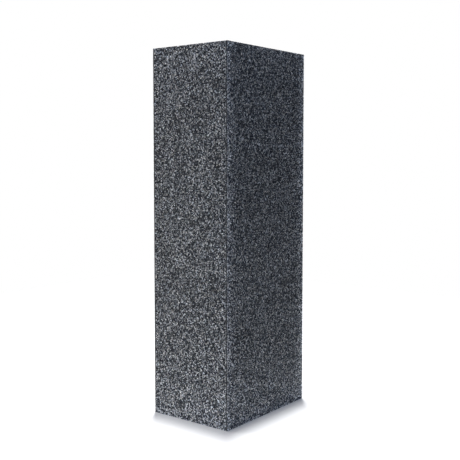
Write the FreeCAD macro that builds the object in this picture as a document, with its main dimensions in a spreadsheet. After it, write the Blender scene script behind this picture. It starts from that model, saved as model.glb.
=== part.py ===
"""Four-sided sanding block: a foam bar with a strip of coated abrasive bonded to each long side.

Millimetres. The block stands on its end: +Z runs along its length, X across the two narrow
sides (the thickness) and Y across the two wide sides (the width). The origin is the centre of
the end it stands on.

Each strip is three layers, from the foam outwards: adhesive film, backing paper and grit coat.
The wide strips run the full width and cover the edges of the narrow strips, which are cut a
hair short, so a fine seam runs along each narrow side beside the corner. The ends are bare:
the bar is cut to length after the strips are on, so all the layers are flush there.
"""

import FreeCAD, Part
import os

import Sketcher

# Driving dimensions, in millimetres: alias, value, what it is.
DIMENSIONS = (
    ("block_length", 98.0, "height of the block on its end"),
    ("block_width", 35.0, "outside, across the wide sides' faces"),
    ("block_thickness", 25.0, "outside, across the narrow sides' faces"),
    ("adhesive_thickness", 0.05, "transfer adhesive film"),
    ("paper_thickness", 0.15, "backing paper"),
    ("grit_thickness", 0.25, "resin coat with its grains"),
    ("seam_gap", 0.05, "between a narrow strip's edge and the wide strip beside it"),
    ("grit_edge_radius", 0.2, "rounding of the wide grit coats at the block's corners"),
)

# Worked out from the dimensions above: alias, formula.
DERIVED = (
    ("strip_thickness", "=adhesive_thickness + paper_thickness + grit_thickness"),
    ("core_width", "=block_width - 2 * strip_thickness"),
    ("core_thickness", "=block_thickness - 2 * strip_thickness"),
    ("wide_strip_width", "=block_width"),
    ("narrow_strip_width", "=core_thickness - 2 * seam_gap"),
)

# The layers of a strip, from the foam outwards: name, its thickness, what lies under it.
LAYERS = (
    ("adhesive_film", "Sizes.adhesive_thickness", "0"),
    ("backing_paper", "Sizes.paper_thickness", "Sizes.adhesive_thickness"),
    ("grit_coat", "Sizes.grit_thickness", "Sizes.adhesive_thickness + Sizes.paper_thickness"),
)

# The four long sides: name, outward direction, turn from +Y about Z in degrees,
# strip width, and the core's size across that side.
SIDES = (
    ("wide_right", (1, 0), -90.0, "Sizes.wide_strip_width", "Sizes.core_thickness"),
    ("wide_left", (-1, 0), 90.0, "Sizes.wide_strip_width", "Sizes.core_thickness"),
    ("narrow_front", (0, -1), 180.0, "Sizes.narrow_strip_width", "Sizes.core_width"),
    ("narrow_back", (0, 1), 0.0, "Sizes.narrow_strip_width", "Sizes.core_width"),
)


def add_sizes(doc):
    """The spreadsheet that holds every size; a row is alias, value or formula, note."""
    sheet = doc.addObject("Spreadsheet::Sheet", "Sizes")
    notes = [(alias, str(value), note) for alias, value, note in DIMENSIONS]
    notes += [(alias, formula, "worked out") for alias, formula in DERIVED]
    for row, (alias, content, note) in enumerate(notes, start=1):
        sheet.set(f"A{row}", alias)
        sheet.set(f"B{row}", content)
        sheet.set(f"C{row}", note)
        sheet.setAlias(f"B{row}", alias)
    doc.recompute()
    return sheet


def origin_plane(body, role):
    """The body's own origin plane with this role, such as XY_Plane."""
    return next(item for item in body.Origin.OriginFeatures if item.Role == role)


def add_rectangle(sketch, width, height, centred):
    """A rectangle of width (X) by height (Y), both expressions.

    Its middle is on the origin in X. In Y it is centred too, or else starts at the X axis.
    """
    low = -1.0 if centred else 0.0
    corners = ((-1.0, low), (1.0, low), (1.0, 1.0), (-1.0, 1.0))
    points = [FreeCAD.Vector(x, y, 0) for x, y in corners]
    for start, end in zip(points, points[1:] + points[:1]):
        sketch.addGeometry(Part.LineSegment(start, end))
    for side in range(4):
        sketch.addConstraint(Sketcher.Constraint("Coincident", side, 2, (side + 1) % 4, 1))
    for side, kind in enumerate(("Horizontal", "Vertical", "Horizontal", "Vertical")):
        sketch.addConstraint(Sketcher.Constraint(kind, side))
    if centred:
        sketch.addConstraint(Sketcher.Constraint("Symmetric", 0, 1, 1, 2, -1, 1))
    else:
        sketch.addConstraint(Sketcher.Constraint("Symmetric", 0, 1, 0, 2, -1, 1))
    across = sketch.addConstraint(Sketcher.Constraint("DistanceX", 0, 1, 0, 2, 2.0))
    along = sketch.addConstraint(Sketcher.Constraint("DistanceY", 1, 1, 1, 2, 1.0 - low))
    sketch.renameConstraint(across, "width")
    sketch.renameConstraint(along, "height")
    sketch.setExpression("Constraints.width", width)
    sketch.setExpression("Constraints.height", height)


def add_bar(doc, label, width, height, centred):
    """A body that is a rectangle in XY padded up to the block's length."""
    body = doc.addObject("PartDesign::Body", label)
    body.Label = label
    sketch = body.newObject("Sketcher::SketchObject", f"{label}_section")
    sketch.AttachmentSupport = [(origin_plane(body, "XY_Plane"), "")]
    sketch.MapMode = "FlatFace"
    add_rectangle(sketch, width, height, centred)
    pad = body.newObject("PartDesign::Pad", f"{label}_length")
    pad.Profile = sketch
    pad.setExpression("Length", "Sizes.block_length")
    doc.recompute()
    return body


def outer_long_edges(shape):
    """Names of the edges along Z that lie furthest out, at the shape's highest Y."""
    top = shape.BoundBox.YMax
    names = []
    for index, edge in enumerate(shape.Edges, start=1):
        box = edge.BoundBox
        if box.ZLength > 0.5 * shape.BoundBox.ZLength and abs(box.YMin - top) < 1e-6:
            names.append(f"Edge{index}")
    return names


def round_outer_edges(doc, body, radius):
    """Rounds the two long outer edges of a layer with a fillet of this radius."""
    bar = body.Tip
    fillet = body.newObject("PartDesign::Fillet", f"{body.Label}_rounding")
    fillet.Base = (bar, outer_long_edges(bar.Shape))
    fillet.setExpression("Radius", radius)
    doc.recompute()


def place_layer(body, outward, turn, core_size, below):
    """Stands a layer on its side of the core: turned about Z, then moved outwards."""
    rotation = FreeCAD.Rotation(FreeCAD.Vector(0, 0, 1), turn)
    body.Placement = FreeCAD.Placement(FreeCAD.Vector(0, 0, 0), rotation)
    for axis, direction in zip("xy", outward):
        if direction:
            formula = f"{direction} * ({core_size} / 2 + {below})"
            body.setExpression(f"Placement.Base.{axis}", formula)


def add_strip(doc, side, outward, turn, strip_width, core_size):
    """The three layers of one side's abrasive strip."""
    bodies = []
    for layer, thickness, below in LAYERS:
        body = add_bar(doc, f"{layer}_{side}", strip_width, thickness, centred=False)
        if layer == "grit_coat" and side.startswith("wide"):
            round_outer_edges(doc, body, "Sizes.grit_edge_radius")
        place_layer(body, outward, turn, core_size, below)
        bodies.append(body)
    return bodies


def check(doc, bodies):
    """Stops if any object failed to compute or any body isn't one valid solid."""
    for item in doc.Objects:
        bad = {"Invalid", "Error"} & set(item.State)
        if bad:
            raise RuntimeError(f"{item.Label} is {sorted(bad)}")
    for body in bodies:
        shape = body.Shape
        if shape.isNull() or not shape.isValid() or len(shape.Solids) != 1:
            raise RuntimeError(f"{body.Label} is not one valid solid")


def export(bodies):
    """Writes each body to parts/LABEL.step and prints its size and volume."""
    os.makedirs("parts", exist_ok=True)
    for body in bodies:
        box = body.Shape.BoundBox
        body.Shape.exportStep(f"parts/{body.Label}.step")
        size = f"{box.XLength:.2f} x {box.YLength:.2f} x {box.ZLength:.2f}"
        print(f"{body.Label}: {size} mm, {body.Shape.Volume / 1000:.3f} cm3")


def main():
    doc = FreeCAD.newDocument("SandingBlock")
    add_sizes(doc)
    bodies = [add_bar(doc, "foam_core", "Sizes.core_thickness", "Sizes.core_width", centred=True)]
    for side in SIDES:
        bodies += add_strip(doc, *side)
    doc.recompute()
    check(doc, bodies)
    export(bodies)


main()
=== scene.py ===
import math

import bpy
import numpy as np
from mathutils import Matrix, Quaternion, Vector


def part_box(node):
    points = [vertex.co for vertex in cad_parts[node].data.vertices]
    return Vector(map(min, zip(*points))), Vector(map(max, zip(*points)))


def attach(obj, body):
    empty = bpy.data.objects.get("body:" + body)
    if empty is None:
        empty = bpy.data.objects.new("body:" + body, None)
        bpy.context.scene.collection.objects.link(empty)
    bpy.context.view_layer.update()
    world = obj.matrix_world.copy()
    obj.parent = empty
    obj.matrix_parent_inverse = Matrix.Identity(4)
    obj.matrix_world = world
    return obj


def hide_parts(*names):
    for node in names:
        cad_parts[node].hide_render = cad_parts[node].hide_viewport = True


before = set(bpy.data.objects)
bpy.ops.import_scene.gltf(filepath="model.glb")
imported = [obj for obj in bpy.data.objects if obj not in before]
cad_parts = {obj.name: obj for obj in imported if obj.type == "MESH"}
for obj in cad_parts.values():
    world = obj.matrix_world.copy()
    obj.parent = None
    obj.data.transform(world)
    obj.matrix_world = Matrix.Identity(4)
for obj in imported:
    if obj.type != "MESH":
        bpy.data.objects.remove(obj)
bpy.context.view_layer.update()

# The four-sided sanding block, standing on its end. Metres, +Z along the block.
# Foam core, and on each long side a strip of coated abrasive: adhesive film, backing paper,
# grit coat. The adhesive films stay as the frame has them; the rest is built here.

MM = 0.001

# The four sides: name, and the direction it faces in X and Y.
SIDES = {
    "wide_right": (1, 0),
    "wide_left": (-1, 0),
    "narrow_front": (0, -1),
    "narrow_back": (0, 1),
}

# Grit, as coarse as P80 to P100.
GRAIN_PITCH = 0.27 * MM  # from one grain to the next
GRAIN_SHIFT = 0.24  # how far a tip or a hollow strays, in grid steps
DRIFT_WAVES = 10  # slow waves that bend the rows of grains
DRIFT_LENGTH = (14.0, 42.0)  # of a wave, in grid steps
DRIFT_SLOPE = 0.11  # how far each wave turns the rows
DRIFT_MARGIN = 10.0  # grid steps from an edge over which the drift fades away
TIP_HEIGHT = (0.58, 1.0)  # heights in coat thicknesses, lowest and highest
HOLLOW_HEIGHT = (0.16, 0.62)
EDGE_HEIGHT = (0.82, 1.0)
OWN_TONE = 0.7  # share of a facet's tone that its whole grain has
WIDE_SHEEN_SPREAD = 0.87  # spread of the wide coats' tones, as a share of the narrow coats' spread: a painted sheen that flattens their tones
CUT_TONE = 0.74  # lightest tone on a strip's cut edge
CUT_HEIGHT = 0.1  # a cut edge is as dark as a grain of this height: the hollows' painted shade, which darkens the seam
RAGGED = 0.04 * MM  # how deep the cut edges of a strip are nibbled
WIDE_ROUNDING = 0.06 * MM  # of the wide coats at the block's corners
NARROW_ROUNDING = 0.03 * MM  # of the narrow coats beside the seam
LOWEST = 0.02  # least height of a grain, in coat thicknesses
SEAM_LEAN = 0.03 * MM  # how far the narrow coats' outermost grains lean over the seam
WORN_BAND = 4.5 * MM  # width of the band beside a corner where the wide coats are worn and painted paler as a highlight
WORN_DEPTH = 0.02 * MM  # how much lower the grains are at the corner itself
PAINTED_LIGHT_REACH = 9.0 * MM  # up from the foot, over which the painted light thrown up by the table fades to a third
CROWN_PAINTED_LIGHT = 0.35  # painted light at the upper end, as a share of that at the foot
WEAR_AND_HIGHLIGHT_SHADE = 1.05  # how much full wear and the painted highlight add to a grain's shade
PAINTED_LIGHT_SHADE = 0.7  # how much full painted light adds to it
SPECKLE_SHARE = 0.22  # share of a grain's tone that comes from the specks on its facets
EDGE_PAINTED_LIGHT = 3.0  # how many times paler the painted light makes the paper's and the film's edges at the foot

# Foam.
FOAM_STEP = 0.15 * MM  # between grid lines on an end
CELL_SIZE = 0.62 * MM  # from one cell of the foam to the next
PIT_DEPTH = 0.16 * MM  # of a cell that the knife has opened
FOAM_CLEARANCE = 0.01 * MM  # between the foam's sides and the adhesive films
FOAM_RIM = 0.5 * MM  # width of the band where the cut foam sinks beside the strips
FOAM_SINK = 0.12 * MM  # how deep it sinks there
CELL_SLOPE = 1.6  # how steeply a cell's side falls from its wall
CELL_ROUNDING = 0.7  # power that rounds its bottom
SHALLOWEST = 0.45  # depth of the shallowest cell, as a share of the deepest

# Paper.
FIBRE_STEP = 0.25 * MM  # between points along a sheet's edge
FIBRE_DEPTH = 0.03 * MM  # how far the edge is frayed back
CUT_LEVELS = 5  # points through the thickness of a sheet's edge
HAIR = 0.001 * MM  # points this close to a line count as on it

# Stage.
VIEW_TURN = math.radians(37.79)  # of the camera about the block, from square on to a narrow side
VIEW_DROP = math.radians(3.83)  # how far the camera looks down
TABLE_HALF = 200 * MM
TABLE_LEVEL = -0.02 * MM

# The lamps, in metres and watts: name, place, the point it faces, size, power, colour, and
# how far it is turned about its line of light.
LAMPS = (
    ("overhead", (-0.103, 0.133, 3.0), (-0.103, 0.133, 0), (0.08, 0.33), 84, (1.0, 1.0, 1.0), VIEW_TURN),
    ("high_front", (0.12, -0.16, 0.80), (0, 0, 0.05), (0.40, 0.40), 1.45, (1.0, 0.98, 0.92), 0),
    ("front", (0.40, -0.51, 0.08), (0, 0, 0.04), (0.30, 0.10), 1.13, (0.74, 0.98, 1.52), 0),
    ("left_front", (-0.28, -0.20, 0.06), (0, 0, 0.03), (0.12, 0.08), 0.11, (1.12, 1.0, 0.85), 0),
    ("left_high", (-0.14, -0.09, 0.12), (0, 0, 0.06), (0.05, 0.05), 0.080, (1.0, 0.99, 0.99), 0),
    ("left_low", (-0.12, -0.07, 0.015), (0, 0, 0.01), (0.05, 0.02), 0.055, (1.0, 1.0, 1.0), 0),
)


# ---------------------------------------------------------------- meshes


def make_piece(name, points, triangles, nodes):
    """A piece from an array of points and an array of triangles, riding on the block."""
    mesh = bpy.data.meshes.new(name)
    mesh.vertices.add(len(points))
    mesh.vertices.foreach_set("co", np.ascontiguousarray(points, np.float32).ravel())
    mesh.loops.add(triangles.size)
    mesh.loops.foreach_set("vertex_index", triangles.astype(np.int32).ravel())
    mesh.polygons.add(len(triangles))
    mesh.polygons.foreach_set("loop_start", np.arange(0, triangles.size, 3, dtype=np.int32))
    mesh.update(calc_edges=True)
    piece = bpy.data.objects.new(name, mesh)
    bpy.context.scene.collection.objects.link(piece)
    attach(piece, "root")
    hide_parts(*nodes)
    return piece


def add_values(piece, name, domain, values):
    """A float attribute of that name on the piece's points or faces."""
    attribute = piece.data.attributes.new(name, "FLOAT", domain)
    attribute.data.foreach_set("value", np.ascontiguousarray(values, np.float32).ravel())


def add_bake_map(piece, corners):
    """A UV map from an array of (u, v) for each corner of each triangle."""
    layer = piece.data.uv_layers.new(name="OFBake")
    layer.uv.foreach_set("vector", np.ascontiguousarray(corners, np.float32).ravel())


def stand_on_side(across, out, up, facing):
    """Local (across, out, up) to X, Y, Z: across runs to the right as one looks at the side."""
    x, y = facing
    return np.stack([-y * across + x * out, x * across + y * out, up], axis=-1)


def side_box(layer, side):
    """Where a layer of a side lies: its half width, inner and outer distance, bottom and top."""
    low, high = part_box(f"{layer}_{side}")
    normal = 0 if SIDES[side][0] else 1
    along = 1 - normal
    inner, outer = sorted((abs(low[normal]), abs(high[normal])))
    return high[along], inner, outer, low[2], high[2]


def fan(centre, ring):
    """Triangles from one centre point to a closed ring of points, anticlockwise."""
    return np.stack([np.full(len(ring), centre), ring, np.roll(ring, -1)], axis=1)


def wall(front, back):
    """Triangles between two closed rings, anticlockwise from the front, facing outwards."""
    front_next, back_next = np.roll(front, -1), np.roll(back, -1)
    first = np.stack([front, back, back_next], axis=1)
    second = np.stack([front, back_next, front_next], axis=1)
    return np.concatenate([first, second])


def border(index):
    """The ring of a grid's outermost points, anticlockwise from the first."""
    return np.concatenate([index[0, :-1], index[:-1, -1], index[-1, :0:-1], index[:0:-1, 0]])


def quad_triangles(index):
    """Two triangles for each square of a grid, anticlockwise in X and Y."""
    a, b = index[:-1, :-1].ravel(), index[:-1, 1:].ravel()
    c, d = index[1:, 1:].ravel(), index[1:, :-1].ravel()
    return np.concatenate([np.stack([a, b, c], axis=1), np.stack([a, c, d], axis=1)])


def pick(rng, limits, shape):
    """Even random numbers between two limits."""
    return rng.uniform(limits[0], limits[1], shape)


# ---------------------------------------------------------------- grit coats


def lower_edges(share, across, width, thickness, rounding, worn_depth):
    """Heights of the coat's points, and how worn each one is, from 0 to 1.

    A height is the point's share of the thickness. Along the two long edges it drops as a
    quarter circle, rounding - sqrt(rounding^2 - (rounding - distance from edge)^2), and in the
    worn band by worn_depth times the square of how far a point is into it, but never below
    LOWEST of the thickness. The second value also makes the grit paler there: wear, and a
    painted highlight where the rounded corner catches the light.
    """
    from_edge = width / 2 - np.abs(across)
    inward = np.clip(from_edge, 0, rounding)
    drop = rounding - np.sqrt(rounding**2 - (rounding - inward) ** 2)
    # Wear, and a painted highlight beside the corner: 1 at the edge, falling to 0 across the band.
    wear_and_highlight = np.clip(1 - from_edge / WORN_BAND, 0, 1) ** 2
    height = np.maximum(share * thickness - drop - worn_depth * wear_and_highlight, LOWEST * thickness)
    return height, wear_and_highlight


def drift(column, row, columns, rows, waves):
    """How far a place in the net wanders, in steps: slow sine waves that fade out at the edges.

    Each wave has a length, a direction and a phase, and is as high as DRIFT_SLOPE times its
    length over a full turn.
    """
    length, angle, phase = waves
    along = column[..., None] * np.cos(angle) + row[..., None] * np.sin(angle)
    turn = 2 * math.pi
    total = (DRIFT_SLOPE * length / turn * np.sin(turn * along / length + phase)).sum(axis=-1)
    margin = np.minimum(np.minimum(column, columns - column), np.minimum(row, rows - row))
    inside = np.clip(margin / DRIFT_MARGIN, 0, 1)
    return total * inside**2 * (3 - 2 * inside)


def grain_points(width, length, rng):
    """The grit's points: a net of hollows, then a grain's tip in each square of it.

    The net's rows drift, and each point strays from its even place by up to GRAIN_SHIFT of a
    step. Points on the outline stray only along it, and are nibbled inwards by up to RAGGED.
    A height is a random share of the thickness, so a grain is an uneven four-sided crystal.
    Returns across, up and share as flat arrays, then the net's and the tips' index grids.
    """
    columns, rows = round(width / GRAIN_PITCH), round(length / GRAIN_PITCH)
    spans = DRIFT_LENGTH, (0, math.pi), (0, 2 * math.pi)
    waves = [np.stack([pick(rng, limits, DRIFT_WAVES) for limits in spans]) for _ in range(2)]
    column, row = np.meshgrid(np.arange(columns + 1.0), np.arange(rows + 1.0))
    end, side = (row == 0) | (row == rows), (column == 0) | (column == columns)
    hollow_share = pick(rng, HOLLOW_HEIGHT, row.shape)
    hollow_share = np.where(end | side, pick(rng, EDGE_HEIGHT, row.shape), hollow_share)
    tip_share = pick(rng, TIP_HEIGHT, (rows, columns))

    hollows = column, row, ~side, ~end
    grains = column[:-1, :-1] + 0.5, row[:-1, :-1] + 0.5, True, True
    places = []
    for x, y, free_x, free_y in (hollows, grains):
        shift = pick(rng, (-GRAIN_SHIFT, GRAIN_SHIFT), (2, *x.shape))
        nibble = RAGGED * rng.random(shift.shape)
        moved_x = x + free_x * (shift[0] + drift(x, y, columns, rows, waves[0]))
        moved_y = y + free_y * (shift[1] + drift(x, y, columns, rows, waves[1]))
        across = moved_x * width / columns - width / 2
        up = moved_y * length / rows
        across -= (1 - free_x) * np.sign(across) * nibble[0]
        up -= (1 - free_y) * np.sign(up - length / 2) * nibble[1]
        places.append((across.ravel(), up.ravel()))
    across, up = (np.concatenate(parts) for parts in zip(*places))
    share = np.concatenate([hollow_share.ravel(), tip_share.ravel()])
    net = np.arange(row.size).reshape(row.shape)
    tips = row.size + np.arange(tip_share.size).reshape(tip_share.shape)
    return across, up, share, net, tips


def grain_triangles(net, tips):
    """Four facets round each tip, in the order of the grains."""
    ring = np.stack([net[:-1, :-1], net[:-1, 1:], net[1:, 1:], net[1:, :-1]], axis=-1)
    peak = np.broadcast_to(tips[..., None], ring.shape)
    return np.stack([peak, ring, np.roll(ring, -1, axis=-1)], axis=-1).reshape(-1, 3)


def grit_map(across, up, triangles, grit_count, wall_count, width, length):
    """The bake map: the grit in two halves side by side, then the back, then the cut edges.

    u and v are across and up times one scale, plus the place of the part that a triangle
    belongs to. The back lies on its side above the grit, and the cut edges in lanes at the top.
    """
    gap, grit_top = 0.012, 0.66
    back_floor, back_height = 0.70, 0.22
    lanes, lane_floor, lane_pitch, lane_height, lane_margin = 5, 0.93, 0.012, 0.008, 0.01
    scale = min((1 - 3 * gap) / (2 * width), grit_top / (length / 2))
    u, v = across[triangles] + width / 2, up[triangles]
    upper = v.mean(axis=1, keepdims=True) > length / 2
    u = np.where(upper, u * scale + 2 * gap + width * scale, u * scale + gap)
    v = np.where(upper, v - length / 2, v) * scale + gap
    corners = np.stack([u, v], axis=-1)
    edge = slice(grit_count, grit_count + wall_count)
    back = slice(grit_count + wall_count, None)
    small = back_height / width
    corners[back, :, 0] = up[triangles[back]] * small + gap
    corners[back, :, 1] = (across[triangles[back]] + width / 2) * small + back_floor
    place = (up + across)[triangles[edge]] / (length + width)
    lane = lane_floor + lane_pitch * (np.arange(wall_count) % lanes)[:, None]
    corners[edge, :, 0] = lane_margin + (1 - 2 * lane_margin) * np.abs(place)
    corners[edge, :, 1] = lane + lane_height * np.array([1.0, 0.0, 0.5])
    return corners


def build_grit_coat(side, rounding, worn_depth, lean, variety, seed):
    """A closed shell: the grains in front, ragged cut edges, and a flat back on the paper.

    lean widens the grains past the back on both long edges. A facet's tone is a random share
    of its own and its whole grain's, and variety draws it towards the middle. The painted light,
    thrown up by the table at the foot and a little at the upper end, is the sum of
    exp(-distance / reach) from the foot and the crown's share times that from the upper end.
    """
    rng = np.random.default_rng(seed)
    half, inner, outer, bottom, top = side_box("grit_coat", side)
    width, length, thickness = 2 * (half + lean), top - bottom, outer - inner
    across, up, share, net, tips = grain_points(width, length, rng)
    height, wear_and_highlight = lower_edges(share, across, width, thickness, rounding, worn_depth)
    ring = border(net)
    back_ring = across.size + np.arange(len(ring))
    centre = across.size + len(ring)

    rows, columns = net.shape
    even_across, even_up = np.meshgrid(np.linspace(-half, half, columns), np.linspace(0, length, rows))
    all_across = np.concatenate([across, even_across.ravel()[ring], [0]])
    all_up = np.concatenate([up, even_up.ravel()[ring], [length / 2]])
    all_out = np.concatenate([height, np.zeros(len(ring) + 1)]) + inner
    points = stand_on_side(all_across, all_out, all_up + bottom, SIDES[side])

    grit = grain_triangles(net, tips)
    edges = wall(ring, back_ring)
    triangles = np.concatenate([grit, edges, fan(centre, back_ring)[:, ::-1]])
    piece = make_piece(f"grit_{side}", points, triangles, [f"grit_coat_{side}"])

    grains, facets = tips.size, 4
    tone, tint = rng.random(grains), rng.random(grains)
    rest = len(triangles) - len(grit)
    facet = OWN_TONE * np.repeat(tone, facets) + (1 - OWN_TONE) * rng.random(len(grit))
    facet = 0.5 + variety * (facet - 0.5)
    add_values(piece, "grain_tone", "FACE", np.concatenate([facet, CUT_TONE * rng.random(rest)]))
    add_values(piece, "grain_tint", "FACE", np.concatenate([np.repeat(tint, facets), rng.random(rest)]))
    rim = np.zeros(len(ring) + 1)
    # Painted light thrown up by the table: paler towards the foot, and a little towards the upper end.
    painted_light = np.exp(-up / PAINTED_LIGHT_REACH) + CROWN_PAINTED_LIGHT * np.exp((up - length) / PAINTED_LIGHT_REACH)
    # Heights also set the painted shade in the hollows, and the cut edges get that of a low grain.
    add_values(piece, "grain_height", "POINT", np.concatenate([share, rim + CUT_HEIGHT]))
    # Wear, and the painted highlight beside the corner, on the grains only.
    add_values(piece, "grain_wear_and_highlight", "POINT", np.concatenate([wear_and_highlight * (worn_depth > 0), rim]))
    add_values(piece, "grain_painted_light", "POINT", np.concatenate([painted_light, rim]))
    add_bake_map(piece, grit_map(all_across, all_up, triangles, len(grit), len(edges), width, length))
    return piece


# ---------------------------------------------------------------- backing papers


def build_backing_paper(side, seed):
    """A sheet whose cut edge is frayed: rings of points from front to back through its edge.

    Each ring is the sheet's rectangle drawn in by FIBRE_DEPTH times a random number and a
    factor, which is 1 at the two faces and falls to 0.4 halfway through the thickness.
    """
    rng = np.random.default_rng(seed)
    half, inner, outer, bottom, top = side_box("backing_paper", side)
    columns = round(2 * half / FIBRE_STEP)
    rows = round((top - bottom) / FIBRE_STEP)
    even_across, even_up = np.linspace(-half, half, columns + 1), np.linspace(bottom, top, rows + 1)
    across, up = np.meshgrid(even_across, even_up)
    ring = border(np.arange(across.size).reshape(across.shape))
    across, up = across.ravel()[ring], up.ravel()[ring]
    count = len(ring)

    level = np.linspace(1, 0, CUT_LEVELS)[:, None]
    frayed = FIBRE_DEPTH * rng.random((CUT_LEVELS, count)) * (0.4 + 1.2 * np.abs(level - 0.5))
    middle = (bottom + top) / 2
    at_side = np.abs(across) > half - HAIR
    at_end = np.abs(up - middle) > middle - bottom - HAIR
    ring_across = across - np.sign(across) * np.where(at_side, frayed, 0)
    ring_up = up - np.sign(up - middle) * np.where(at_end, frayed, 0)
    ring_out = inner + (outer - inner) * level + 0 * across
    centre_out = np.array([outer, inner])
    points = stand_on_side(
        np.concatenate([ring_across.ravel(), [0, 0]]),
        np.concatenate([ring_out.ravel(), centre_out]),
        np.concatenate([ring_up.ravel(), [middle, middle]]),
        SIDES[side],
    )
    rings = np.arange(CUT_LEVELS * count).reshape(CUT_LEVELS, count)
    front_centre, back_centre = rings.size, rings.size + 1
    parts = [fan(front_centre, rings[0])]
    parts += [wall(front, back) for front, back in zip(rings[:-1], rings[1:])]
    parts += [fan(back_centre, rings[-1])[:, ::-1]]
    triangles = np.concatenate(parts)
    return make_piece(f"paper_{side}", points, triangles, [f"backing_paper_{side}"])


# ---------------------------------------------------------------- foam core


def opened_cells(x, y, size, rng):
    """How deep the knife has opened the foam at x, y: 0 on a cell wall, 1 in a cell's middle.

    One cell centre lies anywhere inside each square of that size. The depth is the distance
    to the second nearest centre less the distance to the nearest, in squares, times
    CELL_SLOPE and cut off at 1, to the power CELL_ROUNDING, times the cell's own share.
    """
    column, row = np.floor(x / size).astype(int), np.floor(y / size).astype(int)
    column -= column.min() - 1
    row -= row.min() - 1
    spread = rng.random((3, row.max() + 2, column.max() + 2))
    start_x, start_y = np.floor(x / size).min() - 1, np.floor(y / size).min() - 1
    nearest = np.full(x.shape, np.inf)
    second = np.full(x.shape, np.inf)
    share = np.zeros(x.shape)
    for down in (-1, 0, 1):
        for right in (-1, 0, 1):
            cell = row + down, column + right
            centre_x = start_x + cell[1] + spread[0][cell]
            centre_y = start_y + cell[0] + spread[1][cell]
            distance = np.hypot(x / size - centre_x, y / size - centre_y)
            closer = distance < nearest
            second = np.where(closer, nearest, np.minimum(second, distance))
            share = np.where(closer, spread[2][cell], share)
            nearest = np.minimum(nearest, distance)
    bowl = np.clip((second - nearest) * CELL_SLOPE, 0, 1) ** CELL_ROUNDING
    return bowl * (SHALLOWEST + (1 - SHALLOWEST) * share)


def build_foam_core(seed):
    """The foam bar: two cut ends with opened cells, and sides that touch the films.

    An end's height is the cut's level less PIT_DEPTH times opened_cells, less FOAM_SINK times
    the square of how far a point is into the band beside the strips.
    """
    rng = np.random.default_rng(seed)
    low, high = (np.array(corner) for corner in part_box("foam_core"))
    low[:2] += FOAM_CLEARANCE
    high[:2] -= FOAM_CLEARANCE
    columns = round((high[0] - low[0]) / FOAM_STEP)
    rows = round((high[1] - low[1]) / FOAM_STEP)
    even_x, even_y = np.linspace(low[0], high[0], columns + 1), np.linspace(low[1], high[1], rows + 1)
    x, y = np.meshgrid(even_x, even_y)
    index = np.arange(x.size).reshape(x.shape)
    from_side = np.minimum(high[0] - np.abs(x), high[1] - np.abs(y))
    sink = FOAM_SINK * np.clip(1 - from_side / FOAM_RIM, 0, 1) ** 2
    pits = [opened_cells(x, y, CELL_SIZE, rng) for _ in range(2)]
    base = low[2] + sink + PIT_DEPTH * pits[0]
    crown = high[2] - sink - PIT_DEPTH * pits[1]

    low_triangles = quad_triangles(index)[:, ::-1]
    high_triangles = quad_triangles(index) + x.size
    ring = border(index)
    sides = wall(ring + x.size, ring)
    points = np.concatenate([np.stack([x, y, z], axis=-1).reshape(-1, 3) for z in (base, crown)])
    triangles = np.concatenate([low_triangles, high_triangles, sides])
    piece = make_piece("foam_bar", points, triangles, ["foam_core"])
    add_values(piece, "cell_depth", "POINT", np.concatenate([pit.ravel() for pit in pits]))
    return piece


# ---------------------------------------------------------------- materials


def new_material(name):
    """A material with an empty node tree."""
    material = bpy.data.materials.new(name)
    material.use_nodes = True
    material.node_tree.nodes.clear()
    return material


def add(tree, kind, **values):
    """A node of that kind; values name its settings."""
    node = tree.nodes.new(kind)
    for key, value in values.items():
        setattr(node, key, value)
    return node


def feed(tree, node, **inputs):
    """Gives a node's inputs plain values or links them to other nodes' outputs.

    An input goes by its name, with _ for a space, or by i and its place, such as i0.
    """
    for key, value in inputs.items():
        numbered = key[0] == "i" and key[1:].isdigit()
        socket = node.inputs[int(key[1:]) if numbered else key.replace("_", " ")]
        if isinstance(value, bpy.types.NodeSocket):
            tree.links.new(value, socket)
        else:
            socket.default_value = value
    return node


def math_node(tree, operation, *values):
    """The result of one operation on plain values and other nodes' outputs."""
    node = add(tree, "ShaderNodeMath", operation=operation)
    feed(tree, node, **{f"i{place}": value for place, value in enumerate(values)})
    return node.outputs[0]


def stretch(tree, value, low, high, to_low=0.0, to_high=1.0):
    """A value from low to high becomes to_low to to_high, and stays inside them."""
    node = add(tree, "ShaderNodeMapRange", clamp=True)
    feed(tree, node, i0=value, i1=low, i2=high, i3=to_low, i4=to_high)
    return node.outputs[0]


def times(tree, first, second):
    """Two colours, or a colour and a shade, multiplied and kept from 0 to 1."""
    node = add(tree, "ShaderNodeMix", data_type="RGBA", blend_type="MULTIPLY", clamp_result=True)
    feed(tree, node, i0=1.0, i6=first, i7=second)
    return node.outputs[2]


def noise(tree, where, size, detail=2.0, roughness=0.5):
    """Smooth noise from 0 to 1 whose features are about that many metres wide."""
    node = add(tree, "ShaderNodeTexNoise", noise_dimensions="3D")
    feed(tree, node, Vector=where, Scale=1 / size, Detail=detail, Roughness=roughness)
    return node.outputs["Fac"]


def object_place(tree):
    """The place on the piece, in metres."""
    return add(tree, "ShaderNodeTexCoord").outputs["Object"]


def attribute(tree, name):
    """The value that a piece's mesh has under that name."""
    node = add(tree, "ShaderNodeAttribute", attribute_type="GEOMETRY", attribute_name=name)
    return node.outputs["Fac"]


def colour_ramp(tree, value, *stops):
    """A ramp through stops of (place, colour)."""
    node = add(tree, "ShaderNodeValToRGB")
    ramp = node.color_ramp
    while len(ramp.elements) < len(stops):
        ramp.elements.new(1.0)
    for element, (place, colour) in zip(ramp.elements, stops):
        element.position = place
        element.color = (*colour, 1)
    feed(tree, node, i0=value)
    return node.outputs[0]


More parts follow.
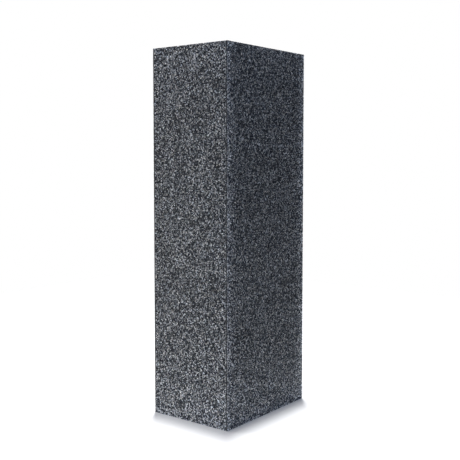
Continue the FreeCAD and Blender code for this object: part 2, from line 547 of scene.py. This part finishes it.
def new_group(name, inputs, outputs):
    """An empty node group whose sockets are all numbers; returns its tree, inputs and outputs."""
    tree = bpy.data.node_groups.new(name, "ShaderNodeTree")
    for in_out, sockets in (("INPUT", inputs), ("OUTPUT", outputs)):
        for socket in sockets:
            tree.interface.new_socket(socket, in_out=in_out, socket_type="NodeSocketFloat")
    return tree, tree.nodes.new("NodeGroupInput").outputs, tree.nodes.new("NodeGroupOutput").inputs


def place_group(tree, group, **inputs):
    """One of GROUPS placed in a material with its own values; returns its outputs."""
    node = add(tree, "ShaderNodeGroup", node_tree=GROUPS[group])
    feed(tree, node, **inputs)
    return node.outputs


def build_mottling():
    """Broad uneven tone: 1, plus the strength times noise of that size and of a fifth of it."""
    tree, given, result = new_group("mottling", ["Size", "Strength"], ["Shade"])
    where = object_place(tree)
    scale = math_node(tree, "DIVIDE", 1.0, given["Size"])
    total = 0.0
    for finer, share in ((1.0, 0.65), (5.0, 0.35)):
        node = add(tree, "ShaderNodeTexNoise")
        feed(tree, node, Vector=where, Scale=math_node(tree, "MULTIPLY", scale, finer), Detail=3.0)
        even = math_node(tree, "SUBTRACT", node.outputs["Fac"], 0.5)
        total = math_node(tree, "ADD", math_node(tree, "MULTIPLY", even, 2 * share), total)
    shade = math_node(tree, "MULTIPLY_ADD", total, given["Strength"], 1.0)
    tree.links.new(shade, result["Shade"])
    return tree


def build_speckle():
    """Fine grain for colour and bump: cells of that size, each with its own value and height."""
    tree, given, result = new_group("speckle", ["Size"], ["Value", "Height"])
    where = object_place(tree)
    scale = math_node(tree, "DIVIDE", 1.0, given["Size"])
    cells = add(tree, "ShaderNodeTexVoronoi", feature="F1")
    feed(tree, cells, Vector=where, Scale=scale)
    random = add(tree, "ShaderNodeSeparateColor")
    feed(tree, random, Color=cells.outputs["Color"])
    tree.links.new(random.outputs[0], result["Value"])
    height = math_node(tree, "SUBTRACT", random.outputs[1], cells.outputs["Distance"])
    tree.links.new(height, result["Height"])
    return tree


GROUPS = {"mottling": build_mottling(), "speckle": build_speckle()}


def finish_material(material, colour, roughness, height, bump_depth, **constants):
    """The surface: one Principled shader with these links, and constants set on its sockets.

    A height of None leaves the surface without bump.
    """
    tree = material.node_tree
    shader = add(tree, "ShaderNodeBsdfPrincipled")
    feed(tree, shader, Base_Color=colour, Roughness=roughness, **constants)
    if height is not None:
        bump = add(tree, "ShaderNodeBump")
        feed(tree, bump, Strength=1.0, Distance=bump_depth, Height=height)
        tree.links.new(bump.outputs[0], shader.inputs["Normal"])
    output = add(tree, "ShaderNodeOutputMaterial")
    tree.links.new(shader.outputs[0], output.inputs["Surface"])
    return material


def foot_painted_light(tree):
    """A shade for the cut edges, painted light thrown up by the table: paler by the edges' factor at the
    foot, and down evenly to 1 at three times the reach.
    """
    place = add(tree, "ShaderNodeSeparateXYZ")
    feed(tree, place, Vector=object_place(tree))
    return stretch(tree, place.outputs["Z"], 0.0, 3 * PAINTED_LIGHT_REACH, EDGE_PAINTED_LIGHT, 1.0)


def grit_material():
    """Black mineral grains in dark resin: broken facets from blue-black to pale, the palest partly
    painted glints; hollows darker with resin and painted shade.
    """
    material = new_material("black_grit")
    tree = material.node_tree
    height = attribute(tree, "grain_height")
    speckle = place_group(tree, "speckle", Size=0.13 * MM)
    tone = math_node(tree, "MULTIPLY", attribute(tree, "grain_tone"), 1 - SPECKLE_SHARE)
    tone = math_node(tree, "MULTIPLY_ADD", speckle["Value"], SPECKLE_SHARE, tone)
    # Facet tones differ at random; the palest stops also stand in for glints on the grains, a painted
    # highlight.
    mineral = colour_ramp(
        tree,
        tone,
        (0.08, (0.0020, 0.0024, 0.0032)),
        (0.24, (0.0055, 0.0063, 0.0080)),
        (0.41, (0.022, 0.0238, 0.0272)),
        (0.54, (0.074, 0.0765, 0.079)),
        (0.67, (0.235, 0.237, 0.230)),
        (0.79, (0.60, 0.60, 0.57)),
        (0.90, (1.0, 0.99, 0.94)),
    )
    tint = colour_ramp(
        tree,
        attribute(tree, "grain_tint"),
        (0.0, (0.92, 0.99, 1.08)),
        (0.5, (1.0, 1.0, 1.0)),
        (1.0, (1.06, 1.0, 0.92)),
    )
    colour = times(tree, mineral, tint)
    # Darker in the hollows, paler on the tips: dark resin and painted shade between the grains, bare
    # grain on top.
    depth = stretch(tree, height, 0.25, 0.85, 0.25, 1.30)
    mottled = place_group(tree, "mottling", Size=14 * MM, Strength=0.30)["Shade"]
    shade = math_node(tree, "MULTIPLY", depth, mottled)
    # Wear, and a painted highlight: paler in the band beside the corner.
    shade = math_node(tree, "MULTIPLY_ADD", attribute(tree, "grain_wear_and_highlight"), WEAR_AND_HIGHLIGHT_SHADE, shade)
    # Painted light thrown up by the table: paler at the foot, and a little at the upper end.
    shade = math_node(tree, "MULTIPLY_ADD", attribute(tree, "grain_painted_light"), PAINTED_LIGHT_SHADE, shade)
    colour = times(tree, colour, shade)
    rough = stretch(tree, speckle["Value"], 0.0, 1.0, 0.30, 0.70)
    return finish_material(
        material, colour, rough, speckle["Height"], 0.05 * MM, IOR=1.6, Specular_IOR_Level=0.08
    )


def paper_material():
    """Near-black latex-treated paper: fibres, pale scuffs, and painted light from the table on its cut
    edge at the foot.
    """
    material = new_material("treated_paper")
    tree = material.node_tree
    fibres = noise(tree, object_place(tree), 0.08 * MM, 4.0, 0.7)
    colour = colour_ramp(tree, fibres, (0.25, (0.012, 0.0115, 0.011)), (0.75, (0.066, 0.063, 0.058)))
    mottled = place_group(tree, "mottling", Size=20 * MM, Strength=0.9)["Shade"]
    colour = times(tree, colour, mottled)
    scuffs = noise(tree, object_place(tree), 0.6 * MM)
    scuffs = stretch(tree, scuffs, 0.38, 0.64, 0.0, 1.2)
    colour = times(tree, colour, scuffs)
    # Painted light from the table, paler at the foot.
    colour = times(tree, colour, foot_painted_light(tree))
    rough = stretch(tree, fibres, 0.3, 0.7, 0.95, 0.75)
    return finish_material(material, colour, rough, fibres, 0.03 * MM, Specular_IOR_Level=0.15)


def film_material():
    """Transfer adhesive: a thin dark film, glossy, with lint, and painted light from the table on its
    cut edge at the foot.
    """
    material = new_material("tacky_film")
    tree = material.node_tree
    lint = noise(tree, object_place(tree), 0.3 * MM, 3.0, 0.6)
    colour = colour_ramp(tree, lint, (0.35, (0.018, 0.017, 0.016)), (0.7, (0.070, 0.066, 0.060)))
    mottled = place_group(tree, "mottling", Size=8 * MM, Strength=0.25)["Shade"]
    colour = times(tree, colour, mottled)
    # Painted light from the table, paler at the foot.
    colour = times(tree, colour, foot_painted_light(tree))
    rough = stretch(tree, lint, 0.3, 0.7, 0.28, 0.55)
    return finish_material(material, colour, rough, None, 0, Specular_IOR_Level=0.3)


def foam_material():
    """Charcoal closed-cell foam: opened cells darkened with painted shade, paler cut walls, a little
    dust.
    """
    material = new_material("charcoal_foam")
    tree = material.node_tree
    pit = attribute(tree, "cell_depth")
    speckle = place_group(tree, "speckle", Size=0.22 * MM)
    # Painted shade: the deeper an opened cell, the darker.
    base = colour_ramp(
        tree,
        pit,
        (0.0, (0.085, 0.087, 0.092)),
        (0.35, (0.045, 0.046, 0.05)),
        (1.0, (0.014, 0.014, 0.016)),
    )
    mottled = place_group(tree, "mottling", Size=9 * MM, Strength=0.35)["Shade"]
    fine = stretch(tree, speckle["Value"], 0, 1, 0.75, 1.25)
    colour = times(tree, base, math_node(tree, "MULTIPLY", mottled, fine))
    rough = stretch(tree, pit, 0, 1, 0.78, 0.92)
    return finish_material(material, colour, rough, speckle["Height"], 0.04 * MM)


def floor_material():
    """A plain matt white table top with the faintest unevenness."""
    material = new_material("table_top")
    tree = material.node_tree
    mottled = place_group(tree, "mottling", Size=120 * MM, Strength=0.02)["Shade"]
    colour = times(tree, (0.93, 0.93, 0.93, 1), mottled)
    return finish_material(material, colour, 0.9, None, 0)


# ---------------------------------------------------------------- stage


def build_floor():
    """A square white table top, a hair below the block."""
    signs = ((-1, -1), (1, -1), (1, 1), (-1, 1))
    corners = [(x * TABLE_HALF, y * TABLE_HALF, TABLE_LEVEL) for x, y in signs]
    mesh = bpy.data.meshes.new("table_top")
    mesh.from_pydata(corners, [], [(0, 1, 2, 3)])
    table = bpy.data.objects.new("table_top", mesh)
    bpy.context.scene.collection.objects.link(table)
    mesh.materials.append(floor_material())


def build_camera():
    """Level with the upper part of the block, turned so that a long corner faces it."""
    eye = Vector((132.6, -171.3, 69.5)) * MM
    level = math.cos(VIEW_DROP)
    towards = Vector((-math.sin(VIEW_TURN) * level, math.cos(VIEW_TURN) * level, -math.sin(VIEW_DROP)))
    lens = bpy.data.cameras.new("camera")
    lens.sensor_width = 36.0
    lens.lens = 61.58
    lens.shift_y = -0.045
    lens.clip_start = 0.01
    camera = bpy.data.objects.new("camera", lens)
    camera.location = eye
    camera.rotation_euler = towards.to_track_quat("-Z", "Y").to_euler()
    bpy.context.scene.collection.objects.link(camera)
    bpy.context.scene.camera = camera


def add_softbox(name, place, aim, size, power, colour, roll):
    """An oval lamp aimed at a point, unseen itself; roll turns it about its line of light."""
    light = bpy.data.lights.new(name, "AREA")
    light.shape = "ELLIPSE"
    light.size, light.size_y = size
    light.energy = power
    light.color = colour
    lamp = bpy.data.objects.new(name, light)
    lamp.location = place
    aimed = (Vector(aim) - Vector(place)).to_track_quat("-Z", "Y")
    lamp.rotation_euler = (aimed @ Quaternion((0, 0, 1), roll)).to_euler()
    lamp.visible_camera = False
    bpy.context.scene.collection.objects.link(lamp)


def build_light():
    """A lamp far overhead, cool light in front and small lamps on the left; a white backdrop.

    The lamp overhead hangs a little behind the block and is long in the camera's direction, so
    the only shadow on the white table is the soft dark line along the foot, and the table
    throws light back up on the sides. The backdrop is only seen: the sides get a dim blue
    from all round instead.
    """
    world = bpy.data.worlds.new("studio")
    bpy.context.scene.world = world
    world.use_nodes = True
    tree = world.node_tree
    tree.nodes.clear()
    around = add(tree, "ShaderNodeBackground")
    feed(tree, around, Color=(0.42, 0.51, 0.85, 1), Strength=0.11)
    backdrop = add(tree, "ShaderNodeBackground")
    feed(tree, backdrop, Color=(1, 1, 1, 1), Strength=1.0)
    seen = add(tree, "ShaderNodeLightPath").outputs["Is Camera Ray"]
    mix = add(tree, "ShaderNodeMixShader")
    feed(tree, mix, i0=seen, i1=around.outputs[0], i2=backdrop.outputs[0])
    output = add(tree, "ShaderNodeOutputWorld")
    tree.links.new(mix.outputs[0], output.inputs["Surface"])
    for lamp in LAMPS:
        add_softbox(*lamp)


# ---------------------------------------------------------------- the block

build_camera()
build_floor()
build_light()

grit = grit_material()
for number, side in enumerate(SIDES):
    wide = side.startswith("wide")
    # The wide coats' narrower spread of tones is a painted sheen.
    wide_make = WIDE_ROUNDING, WORN_DEPTH, 0.0, WIDE_SHEEN_SPREAD
    narrow_make = NARROW_ROUNDING, 0.0, SEAM_LEAN, 1.0
    coat = build_grit_coat(side, *(wide_make if wide else narrow_make), seed=11 + number)
    coat.data.materials.append(grit)
paper = paper_material()
for number, side in enumerate(SIDES):
    build_backing_paper(side, seed=31 + number).data.materials.append(paper)
film = film_material()
for side in SIDES:
    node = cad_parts[f"adhesive_film_{side}"]
    for slot in node.material_slots:
        slot.link = "OBJECT"
        slot.material = film
build_foam_core(seed=51).data.materials.append(foam_material())

bpy.context.scene.view_settings.view_transform = "Standard"
